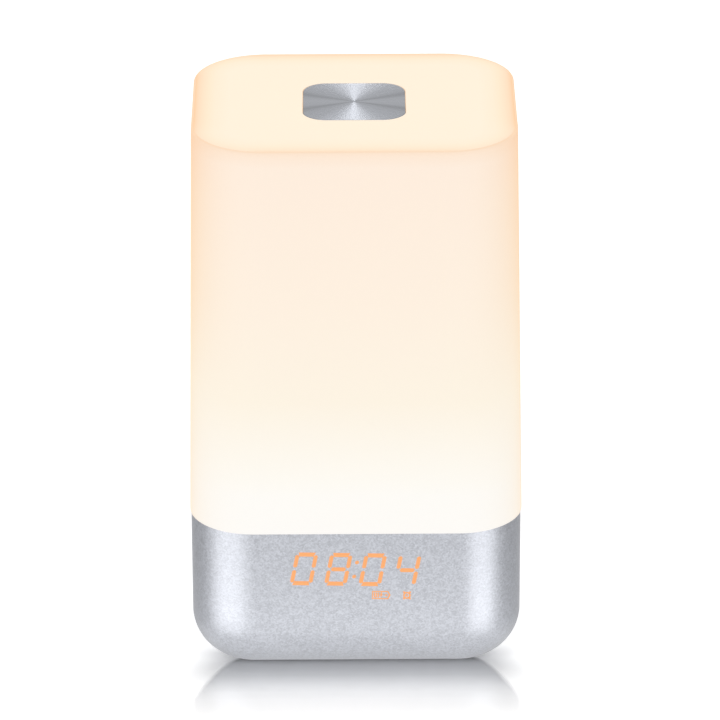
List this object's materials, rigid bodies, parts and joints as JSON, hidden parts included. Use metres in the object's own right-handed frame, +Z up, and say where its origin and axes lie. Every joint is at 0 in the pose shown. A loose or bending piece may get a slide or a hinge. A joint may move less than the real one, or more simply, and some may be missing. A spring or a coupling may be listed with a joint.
{
  "type": "sunrise alarm clock",
  "caption": "Soft-square bedside alarm clock: a tall milky glowing light shade on a silver base with an orange digital display, a touch plate on top and push keys at the rear.",
  "frame": {"origin": "under the middle of the body, on the plane the four feet stand on", "axes": "+Z up, -Y is the front with the display, +X is to the right as seen from the front"},
  "size_m": [0.1, 0.086, 0.17],
  "materials": {
    "shade_milky": "smooth milky, lit from inside",
    "base_silver": "fine metallic paint on moulded plastic",
    "plate_metal": "sunray brushed",
    "cover_grey": "fine texture",
    "foot_rubber": "matte",
    "key_silver": "satin",
    "tray_white": "smooth",
    "board_white": "white solder mask",
    "board_green": "green solder mask",
    "lamp_yellow": "clear potting over phosphor",
    "case_black": "matte",
    "display_amber": "lit",
    "film_smoke": "translucent film",
    "screw_steel": "zinc plated",
    "socket_steel": "plain",
    "part_black": "matte",
    "plug_white": "smooth",
    "plunger_dark": "smooth",
    "lead_red": "insulation",
    "lead_grey": "insulation",
    "ribbon_white": "flat lead",
    "adhesive": "foam tape",
    "gasket_foam": "foam",
    "cone_paper": "pulp",
    "magnet_steel": "ferrite and steel",
    "cell_wrap": "shrink wrap over steel"
  },
  "bodies": {
    "housing": {"light_shade": "shade_milky", "touch_plate": "plate_metal", "touch_plate_adhesive": "adhesive", "touch_lead": "lead_grey", "touch_lead_clips": "plug_white", "touch_lead_terminal": "plug_white", "base_shell": "base_silver", "bottom_cover": "cover_grey", "bottom_cover_screws": "screw_steel", "rubber_feet": "foot_rubber", "light_tray": "tray_white", "light_tray_screws": "screw_steel", "lamp_board": "board_white", "lamp_board_screws": "screw_steel", "lamps": "lamp_yellow", "lamp_leads": "lead_red", "display_case": "case_black", "display_lights": "display_amber", "display_diffuser_film": "film_smoke", "display_board": "board_green", "display_board_screws": "screw_steel", "display_plug": "plug_white", "display_ribbon": "ribbon_white", "main_board": "board_green", "main_board_chips": "part_black", "main_board_plugs": "plug_white", "key_switches": "part_black", "charging_socket": "socket_steel", "charging_socket_tongue": "part_black", "speaker_gasket": "gasket_foam", "speaker_basket": "screw_steel", "speaker_cone": "cone_paper", "speaker_magnet": "magnet_steel", "speaker_retainer": "part_black", "speaker_retainer_screws": "screw_steel", "speaker_leads": "lead_red", "battery_cell": "cell_wrap", "battery_cradle": "part_black", "battery_cradle_screws": "screw_steel", "battery_pad": "gasket_foam", "battery_leads": "lead_red"},
    "key_time": {"key_time": "key_silver", "switch_plunger_time": "plunger_dark"},
    "key_alarm": {"key_alarm": "key_silver", "switch_plunger_alarm": "plunger_dark"},
    "key_sound": {"key_sound": "key_silver", "switch_plunger_sound": "plunger_dark"},
    "key_minus": {"key_minus": "key_silver", "switch_plunger_minus": "plunger_dark"},
    "key_plus": {"key_plus": "key_silver", "switch_plunger_plus": "plunger_dark"}
  },
  "joints": [
    {"name": "key_time_press", "type": "slide", "parent": "housing", "child": "key_time", "axis": [0, -1, 0], "range_m": [0, 0.0005], "stiffness_N_per_m": 1500},
    {"name": "key_alarm_press", "type": "slide", "parent": "housing", "child": "key_alarm", "axis": [0, -1, 0], "range_m": [0, 0.0005], "stiffness_N_per_m": 1500},
    {"name": "key_sound_press", "type": "slide", "parent": "housing", "child": "key_sound", "axis": [0, -1, 0], "range_m": [0, 0.0005], "stiffness_N_per_m": 1500},
    {"name": "key_minus_press", "type": "slide", "parent": "housing", "child": "key_minus", "axis": [0, -1, 0], "range_m": [0, 0.0005], "stiffness_N_per_m": 1500},
    {"name": "key_plus_press", "type": "slide", "parent": "housing", "child": "key_plus", "axis": [0, -1, 0], "range_m": [0, 0.0005], "stiffness_N_per_m": 1500}
  ]
}
